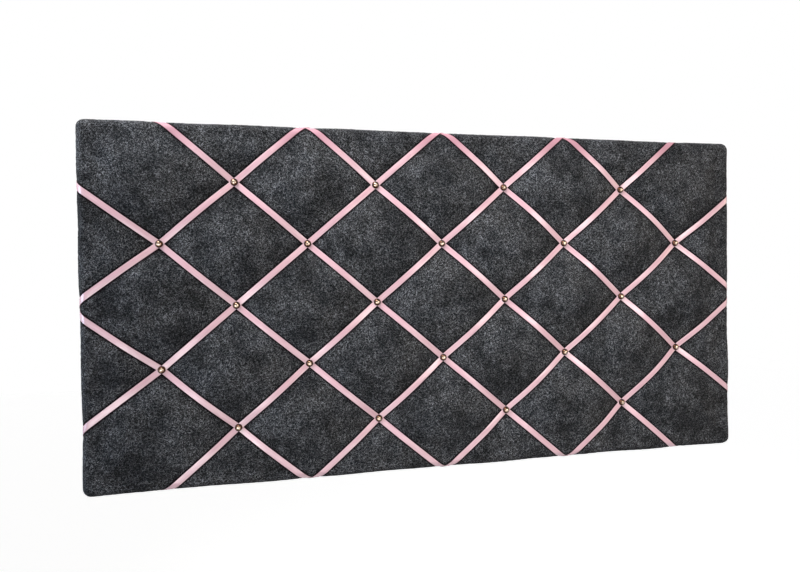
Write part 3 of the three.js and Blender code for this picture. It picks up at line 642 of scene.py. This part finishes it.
# painted light: the rim is darkened as age and as a painted dark reflection, and the crown
# lightened as rubbed wear and as a painted highlight
aged_dark_reflection = 1 - (up_the_dome + 0.12 * tarnish).between(0.1, 0.5)
polished_highlight = (up_the_dome - 0.14 * tarnish).between(0.74, 0.97)
brass_colour = polished_highlight.colours(tone(80, 53, 40), tone(212, 192, 172))
(0.95 * aged_dark_reflection).colours(brass_colour, tone(24, 13, 10)).into(sockets["Base Color"])
(0.1 + 0.18 * aged_dark_reflection).into(sockets["Roughness"])


def turned(name, radius, y, centre, material, sides):
    """A profile turned about a line along Y through the centre, each pole closed to a point."""
    turn = np.linspace(0, 2 * np.pi, sides, endpoint=False)
    x = centre[0] + np.outer(radius, np.cos(turn))
    z = centre[2] + np.outer(radius, np.sin(turn))
    points = np.stack([x, np.broadcast_to(centre[1] + y[:, None], x.shape), z], axis=-1)
    faces = grid_faces(len(radius), sides, closed=True)
    return welded_piece(name, points.reshape(-1, 3), faces, material)


def turned_uv(piece, profile_share):
    """Puts a share worked out from each vertex into the v of a UV map named turned."""
    mesh = piece.data
    spots = np.empty(len(mesh.vertices) * 3)
    mesh.vertices.foreach_get("co", spots)
    share = profile_share(spots.reshape(-1, 3))
    corners = np.empty(len(mesh.loops), int)
    mesh.loops.foreach_get("vertex_index", corners)
    flat_map = np.stack([np.zeros(len(corners)), share[corners]], axis=-1)
    mesh.uv_layers.new(name="turned").uv.foreach_set("vector", flat_map.ravel())


def nail_profile():
    """Radius and depth of a nail from its apex: a dome of ellipse section, a rolled rim, the
    hollow inside, and the shank down to its point. The rim has depth 0 and the dome less."""
    dome = np.linspace(0, np.pi / 2, DOME_ROWS)
    inner = np.linspace(0, HOLLOW_TURN, HOLLOW_ROWS)
    half, hollow = NAIL_HEAD / 2, NAIL_HEAD / 2 - NAIL_WALL
    rim = [half - RIM_ROLL, hollow + RIM_INNER]
    shank = [NAIL_SHANK / 2, NAIL_SHANK / 2, 0]
    radius = np.concatenate([half * np.sin(dome), rim, hollow * np.cos(inner), shank])
    dome_depth = -NAIL_DOME * np.cos(dome)
    hollow_depth = -(NAIL_DOME - NAIL_WALL) * np.sin(inner)
    shank_depth = [SHANK_TOP, SHANK_TAPER, SHANK_POINT]
    depth = np.concatenate([dome_depth, [RIM_ROLL, RIM_ROLL], hollow_depth, shank_depth])
    return radius, depth


nail_radius, nail_depth = nail_profile()
nail_nodes = sorted(name for name in frame["nodes"] if name.startswith("stud_"))
for node in nail_nodes:
    low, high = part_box(node)
    rim = low.y + NAIL_DOME + NAIL_DRIVEN
    centre = ((low.x + high.x) / 2, rim, (low.z + high.z) / 2)
    nail = turned(node.replace("stud", "nail"), nail_radius, nail_depth, centre, brass, NAIL_SIDES)
    turned_uv(nail, lambda spots: np.clip((rim - spots[:, 1]) / NAIL_DOME, 0, 1))
    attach(nail, "board")
    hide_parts(node)

# STRAP HANGERS
# Two zinc-plated steel straps, each folded round the bar of a D-ring and held by a pan-head screw.
# The ring is bent from 2 mm wire and swings on its bar, from lying up the board to lying down.

RING_WIRE = 2 * MM
RING_WIDTH = 20 * MM
RING_REACH = 13 * MM
RING_CORNER = 2.5 * MM
BEND_POINTS, ARCH_POINTS, BAR_POINTS = 9, 41, 9
WIRE_SIDES = 20
SCREW_HEAD = 6 * MM
SCREW_HEAD_HEIGHT = 2 * MM
SCREW_SHANK = 3 * MM
SCREW_LENGTH = 9 * MM
SCREW_POINT = 2 * MM
SCREW_SIDES = 64
CROWN_ROWS, ROUND_ROWS = 15, 5
HEAD_ROUND = 0.4 * MM
HEAD_CROWN = 0.5 * MM
RECESS_ARM = 1.9 * MM
RECESS_HALF = 0.42 * MM
RECESS_DEPTH = 0.9 * MM
RECESS_WALLS = (0.7, 1.3)  # foot and top of the sloping walls, as shares of the half width
RECESS_ENDS = 0.6  # where an arm's end begins to slope, as a share of the arm

zinc, sockets, place = new_finish("zinc_steel", Metallic=1.0)
spangle = place.noise(3.8 * MM).between(0.35, 0.65)
brushed = place.noise((6 * MM, 0.7 * MM, 0.7 * MM)).between(0.35, 0.65)
dulled = place.noise(11 * MM, 3.0).between(0.5, 0.7)
zinc_colour = spangle.colours(tone(188, 192, 196), tone(214, 217, 219))
(0.5 * dulled).colours(zinc_colour, tone(150, 152, 154)).into(sockets["Base Color"])
(0.26 + 0.14 * brushed + 0.16 * dulled).into(sockets["Roughness"])
(brushed + 0.5 * spangle).bump(0.2, 0.03 * MM).into(sockets["Normal"])


def ring_line():
    """Middle line of a D-ring's wire about its bar: quarter-round lower corners, then an arch of
    half an ellipse."""
    half = RING_WIDTH / 2
    bend = np.linspace(-np.pi / 2, 0, BEND_POINTS)
    arch = np.linspace(0, np.pi, ARCH_POINTS)[1:-1]
    bend_x = half - RING_CORNER + RING_CORNER * np.cos(bend)
    bend_z = RING_CORNER * (1 + np.sin(bend))
    arch_z = RING_CORNER + (RING_REACH - RING_CORNER) * np.sin(arch)
    bar = np.linspace(-half + RING_CORNER, half - RING_CORNER, BAR_POINTS)[1:-1]
    x = np.concatenate([bend_x, half * np.cos(arch), -bend_x[::-1], bar])
    z = np.concatenate([bend_z, arch_z, bend_z[::-1], 0 * bar])
    return x, z


def wire_ring(name, middle, lean):
    """A round section carried along the closed ring line, square to it, and leant about the bar."""
    x, z = ring_line()
    along = np.roll(x + 1j * z, -1) - np.roll(x + 1j * z, 1)
    outward = -1j * along / np.abs(along)
    turn = np.linspace(0, 2 * np.pi, WIRE_SIDES, endpoint=False)
    flat = (x + 1j * z)[:, None] + RING_WIRE / 2 * np.outer(outward, np.cos(turn))
    depth = np.broadcast_to(RING_WIRE / 2 * np.sin(turn), flat.shape)
    y = depth * np.cos(lean) - flat.imag * np.sin(lean)
    height = depth * np.sin(lean) + flat.imag * np.cos(lean)
    points = np.stack([middle[0] + flat.real, middle[1] + y, middle[2] + height], axis=-1)
    rows = np.concatenate([points, points[:1]])
    faces = grid_faces(len(rows), WIRE_SIDES, closed=True)[:, ::-1]
    return welded_piece(name, rows.reshape(-1, 3), faces, zinc)


def pan_head(name, centre):
    """A screw turned from its crown out: a flattened dome, less a cross-shaped recess with sloping
    walls, then the rounded edge of the head and the shank down to its point."""
    turn = np.linspace(0, 2 * np.pi, SCREW_SIDES, endpoint=False)
    spread = np.linspace(0, 1, CROWN_ROWS)
    crown = spread * (SCREW_HEAD / 2 - HEAD_ROUND)
    rounded = np.linspace(0, np.pi / 2, ROUND_ROWS)[1:]
    edge = SCREW_HEAD / 2 - HEAD_ROUND * (1 - np.sin(rounded))
    shank = [SCREW_SHANK / 2, SCREW_SHANK / 2, 0]
    radius = np.concatenate([crown, edge, [SCREW_HEAD / 2], shank])
    top = SCREW_HEAD_HEIGHT - HEAD_CROWN * spread**2
    edge_y = top[-1] - HEAD_ROUND * (1 - np.cos(rounded))
    y = np.concatenate([top, edge_y, [0, 0, SCREW_POINT - SCREW_LENGTH, -SCREW_LENGTH]])
    x, z = np.outer(radius, np.cos(turn)), np.outer(radius, np.sin(turn))
    narrow, wide = np.minimum(np.abs(x), np.abs(z)), np.maximum(np.abs(x), np.abs(z))
    foot, top_edge = RECESS_WALLS
    in_slot = 1 - ease(narrow, RECESS_HALF * foot, RECESS_HALF * top_edge)
    in_reach = 1 - ease(wide, RECESS_ARM * RECESS_ENDS, RECESS_ARM)
    recess = RECESS_DEPTH * (in_slot * in_reach) * (y[:, None] > SCREW_HEAD_HEIGHT / 2)
    points = np.stack([centre[0] + x, centre[1] + y[:, None] - recess, centre[2] + z], axis=-1)
    faces = grid_faces(len(radius), len(turn), closed=True)[:, ::-1]
    return welded_piece(name, points.reshape(-1, 3), faces, zinc)


joint_places = {joint["child"]: joint["pos_m"] for joint in frame["joints"]}
for hand in ("left", "right"):
    dress(f"hanger_strap_{hand}", zinc)
    bar = joint_places[f"ring_{hand}"]
    ring_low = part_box(f"hanger_ring_{hand}")[0]
    lean = np.arctan2(bar[1] - ring_low.y - RING_WIRE / 2, RING_REACH)
    ring = wire_ring(f"wire_ring_{hand}", bar, lean)
    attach(ring, f"ring_{hand}")
    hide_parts(f"hanger_ring_{hand}")
    low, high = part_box(f"hanger_screw_{hand}")
    head_seat = high.y - SCREW_HEAD_HEIGHT
    centre = ((low.x + high.x) / 2, head_seat - SEAT, (low.z + high.z) / 2)
    screw = pan_head(f"pan_screw_{hand}", centre)
    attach(screw, "board")
    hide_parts(f"hanger_screw_{hand}")

# BUMPER PADS
# Two round pads of grey rubber, stuck to the lower corners of the hem.
# They hold the board off the wall, so it hangs parallel to it.

BUMPER_ROUND = 0.8 * MM
BUMPER_SIDES = 48
BUMPER_ROUND_ROWS = 6
BUMPER_INNER_RING = 0.6  # of the radius, so that the flat face has even triangles

rubber, sockets, place = new_finish("grey_rubber")
moulded = place.noise(0.4 * MM).between(0.3, 0.7)
worn = place.noise(6 * MM, 3.0).between(0.45, 0.7)
rubber_colour = moulded.colours(tone(66, 66, 68), tone(82, 82, 84))
(0.4 * worn).colours(rubber_colour, tone(104, 103, 102)).into(sockets["Base Color"])
(0.66 + 0.2 * worn).into(sockets["Roughness"])
moulded.bump(0.3, 0.05 * MM).into(sockets["Normal"])

for hand in ("left", "right"):
    low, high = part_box(f"wall_bumper_{hand}")
    half, tall = (high.x - low.x) / 2, high.y - low.y
    rounded = np.linspace(0, np.pi / 2, BUMPER_ROUND_ROWS)
    edge = BUMPER_ROUND * (1 - np.sin(rounded))
    edge_y = BUMPER_ROUND * (1 - np.cos(rounded))
    radius = np.concatenate([[0, half * BUMPER_INNER_RING], half - edge, [half, half, 0]])
    y = np.concatenate([[tall, tall], tall - edge_y, [tall / 2, -SEAT, -SEAT]])
    centre = ((low.x + high.x) / 2, low.y, (low.z + high.z) / 2)
    bumper = turned(f"rubber_pad_{hand}", radius, y, centre, rubber, BUMPER_SIDES)
    bumper.data.flip_normals()
    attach(bumper, "board")
    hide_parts(f"wall_bumper_{hand}")

# STAPLES
# Flat steel staples, 10 mm wide, shot through the hem and the ribbon tails into the panel.
# The hem has one about every 46 mm, a little out of line as a hand tool leaves them.

STAPLE_CROWN = 10 * MM
STAPLE_LEG = 5 * MM
STAPLE_WIRE = (1.1 * MM, 0.55 * MM)  # width and thickness
STAPLE_PITCH = 46 * MM
STAPLE_INSET = 27 * MM  # from the outer edge
TAIL_INSET = 13.5 * MM
STAPLE_CLEAR = 12 * MM  # kept from the bumper pads
STAPLE_BEND = 0.35 * MM
STAPLE_FLAT = 0.93  # level share of the crown
STAPLE_ASTRAY, STAPLE_ASKEW = 0.9 * MM, 0.06  # out of place, and turned in radians
ON_HEM, ON_TAIL = 0.25 * MM, 0.95 * MM  # crown above the hem's face
staple_random = np.random.default_rng(19)


def staple_places():
    """Places on the hem as complex numbers x + i z with the direction of each crown: even steps
    along the four sides, away from the bumper pads, each a little astray and askew."""
    starts, ways = [], []
    hem_x = FLAT_X + EDGE_ROUND - STAPLE_INSET
    hem_z = FLAT_Z + EDGE_ROUND - STAPLE_INSET
    for quarter in range(4):
        travel = 1j**quarter
        along, beyond = [(hem_x, hem_z), (hem_z, hem_x)][quarter % 2]
        count = int(2 * along / STAPLE_PITCH)
        steps = (np.arange(count) - (count - 1) / 2) * STAPLE_PITCH
        starts.append(-1j * travel * beyond + travel * steps)
        ways.append(np.full(count, travel))
    starts, ways = np.concatenate(starts), np.concatenate(ways)
    pads = [sum(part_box(f"wall_bumper_{hand}"), Vector()) / 2 for hand in ("left", "right")]
    to_pads = [np.abs(starts - complex(pad.x, pad.z)) for pad in pads]
    clear = np.min(to_pads, axis=0) > STAPLE_CLEAR
    starts, ways = starts[clear], ways[clear]
    jitter = staple_random.normal(0, STAPLE_ASTRAY, (len(starts), 2))
    starts = starts + jitter[:, 0] + 1j * jitter[:, 1]
    ways = ways * np.exp(1j * staple_random.normal(0, STAPLE_ASKEW, len(ways)))
    return starts, ways


def staples(name, starts, ways, y):
    """A flat wire section carried along each staple: up one leg, round the crown's two bends and
    down the other leg, all staples at once as one array, their ends closed."""
    half = STAPLE_CROWN / 2
    along = np.array([-half, -half, -half * STAPLE_FLAT, half * STAPLE_FLAT, half, half])
    depth = np.array([-STAPLE_LEG, -STAPLE_BEND, 0, 0, -STAPLE_BEND, -STAPLE_LEG])
    wide, thick = STAPLE_WIRE[0] / 2, STAPLE_WIRE[1]
    side = np.array([-wide, wide, wide, -wide])
    inner = np.array([0, 0, -thick, -thick])
    narrowing = 1 - thick / half * (inner < 0)
    along_grid = along[:, None] * narrowing
    depth_grid = depth[:, None] + inner
    side_grid = np.broadcast_to(side, along_grid.shape)
    flat = starts[:, None, None] + ways[:, None, None] * (along_grid + 1j * side_grid)
    points = np.stack([flat.real, np.broadcast_to(y + depth_grid, flat.shape), flat.imag], axis=-1)
    corners = len(side)
    one = grid_faces(len(along), corners, closed=True)[:, ::-1]
    end = np.arange(corners)
    one = np.concatenate([one, [end[::-1], end + along_grid.size - corners]])
    faces = (one + np.arange(len(starts))[:, None, None] * along_grid.size).reshape(-1, corners)
    mesh = bpy.data.meshes.new(name)
    mesh.from_pydata(points.reshape(-1, 3), [], faces)
    mesh.materials.append(zinc)
    piece = bpy.data.objects.new(name, mesh)
    bpy.context.scene.collection.objects.link(piece)
    return piece


hem_starts, hem_ways = staple_places()
tail_starts, tail_ways = [], []
for slope in (-1, 1):
    for number in range(RIBBONS_EACH_WAY):
        places, along = ribbon_run(number - LAST_LINE, slope)
        at_tail = WALK_TO_BACK + TAIL_INSET - REAR_ROUND
        half = len(places) // 2
        for end, ways in ((places[:half], along[:half]), (places[half:], along[half:])):
            nearest = np.argmin(np.abs(walked_out(end.real, end.imag) - at_tail))
            spot, way = end[nearest], ways[nearest]
            x, y, z = wrapped(np.array(spot.real), np.array(spot.imag), 0.0)
            on_side = abs(spot.real) > FLAT_X
            mirrored = complex(-way.real, way.imag) if on_side else complex(way.real, -way.imag)
            tail_starts.append(complex(x, z))
            tail_ways.append(mirrored * 1j)
tail_starts, tail_ways = np.array(tail_starts), np.array(tail_ways)
hem_staples = staples("hem_staples", hem_starts, hem_ways, felt_high.y + ON_HEM)
tail_staples = staples("tail_staples", tail_starts, tail_ways, felt_high.y + ON_TAIL)
for piece in (hem_staples, tail_staples):
    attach(piece, "board")

# STUDIO
# A plain pale floor far below the hanging board, in a white room that the camera and metal see.
# A long light grazes the face from above. A cool one stands left, and a weak warm one right.
# Two windows and a low table shine from the front, and a lamp behind lights the hem and hangers.

FLOOR_DROP = 1.3
FLOOR_SIZE = 14.0
FLOOR_SEEN = 0.92  # brightness of the floor to the camera and in the metal
ROOM_FILL = 0.02  # share of the white room's light that falls on the board


def seen_by(signal):
    """1 for the rays of the camera, of metal and of glass, 0 for the rays that carry light."""
    kinds = ("Is Camera Ray", "Is Glossy Ray", "Is Transmission Ray")
    rays = [signal.node("ShaderNodeLightPath", {}, {}, kind) for kind in kinds]
    return sum(rays[1:], rays[0]).between(0.0, 1.0)


floor_finish, sockets, place = new_finish("pale_floor", Roughness=0.9, Emission_Strength=1.0)
floor_colour = place.noise(330 * MM, 3.0).colours(tone(243, 243, 243), tone(248, 248, 248))
floor_colour.into(sockets["Base Color"])
floor_seen = (FLOOR_SEEN, FLOOR_SEEN, FLOOR_SEEN, 1.0)
seen_by(place).colours((0.0, 0.0, 0.0, 1.0), floor_seen).into(sockets["Emission Color"])
floor_mesh = bpy.data.meshes.new("studio_floor")
corner = FLOOR_SIZE / 2
floor_corners = [(-corner, -corner), (corner, -corner), (corner, corner), (-corner, corner)]
floor_mesh.from_pydata([(x, y, -FLOOR_DROP) for x, y in floor_corners], [], [(0, 1, 2, 3)])
floor_mesh.materials.append(floor_finish)
floor = bpy.data.objects.new("studio_floor", floor_mesh)
bpy.context.scene.collection.objects.link(floor)

world = bpy.data.worlds.new("white_room")
bpy.context.scene.world = world
world.use_nodes = True
room = Signal(world.node_tree)
backdrop = world.node_tree.nodes["Background"].inputs
backdrop["Color"].default_value = (1.0, 1.0, 1.0, 1.0)
(ROOM_FILL + (1 - ROOM_FILL) * seen_by(room)).into(backdrop["Strength"])


def soft_light(name, place, aim, size, watts, colour, spread):
    """A rectangular area light at a place, turned to its aim, its light within so many degrees."""
    light = bpy.data.lights.new(name, "AREA")
    light.shape = "RECTANGLE"
    light.size, light.size_y = size
    light.energy = watts
    light.color = colour
    light.spread = np.radians(spread)
    lamp = bpy.data.objects.new(name, light)
    lamp.location = place
    lamp.rotation_mode = "QUATERNION"
    lamp.rotation_quaternion = (Vector(aim) - Vector(place)).to_track_quat("-Z", "Y")
    bpy.context.scene.collection.objects.link(lamp)


NEAR_WHITE, SKY, PAPER = (0.99, 1.0, 1.0), (0.98, 0.99, 1.0), (1.0, 0.99, 0.98)
LAMP, EVENING = (1.0, 0.99, 0.97), (1.0, 0.97, 0.93)
COOL, WARM = (0.55, 0.74, 1.0), (1.0, 0.76, 0.52)
soft_light("ceiling_light", (-0.45, -0.29, 0.68), (0, 0, 0.1), (1.5, 0.3), 7.2, NEAR_WHITE, 90)
soft_light("window_light", (-0.7, -1.5, -0.38), (-0.1, 0, -0.05), (0.5, 0.4), 1.2, SKY, 100)
soft_light("table_light", (-0.1, -1.5, -0.62), (0, 0, -0.1), (1.7, 0.25), 1.3, PAPER, 100)
soft_light("far_window", (0.75, -1.5, 0.08), (0.1, 0, 0), (0.6, 0.3), 1.5, EVENING, 100)
soft_light("left_light", (-1.6, -0.45, 0.1), (0, 0, 0), (0.5, 0.9), 4.2, COOL, 100)
soft_light("right_light", (1.4, -0.5, 0.3), (0.1, 0, 0), (0.6, 0.6), 1.2, WARM, 100)
soft_light("rear_light", (0.3, 1.4, 1.3), (0, 0, 0), (1.4, 0.8), 6.5, LAMP, 60)

# CAMERA
# It stands left of the board's middle, close to it, and looks a little to the right.

CAMERA_PLACE = (-0.1744, -0.603, 0.026)
CAMERA_FORWARD = Vector((0.2102, 0.9775, -0.016)).normalized()
CAMERA_UP = Vector((0.0172, 0.0127, 0.9998))
LENS_LENGTH, FILM_WIDTH = 26, 36  # millimetres
NEAREST, FARTHEST = 0.01, 50  # what the camera sees, in metres

lens = bpy.data.cameras.new("front_camera")
lens.lens, lens.sensor_width = LENS_LENGTH, FILM_WIDTH
lens.clip_start, lens.clip_end = NEAREST, FARTHEST
camera = bpy.data.objects.new("front_camera", lens)
right = CAMERA_FORWARD.cross(CAMERA_UP).normalized()
upright = right.cross(CAMERA_FORWARD)
turned_axes = Matrix((right, upright, -CAMERA_FORWARD)).transposed().to_4x4()
camera.matrix_world = Matrix.Translation(CAMERA_PLACE) @ turned_axes
bpy.context.scene.collection.objects.link(camera)
bpy.context.scene.camera = camera
bpy.context.scene.view_settings.view_transform = "Standard"

bpy.context.view_layer.update()
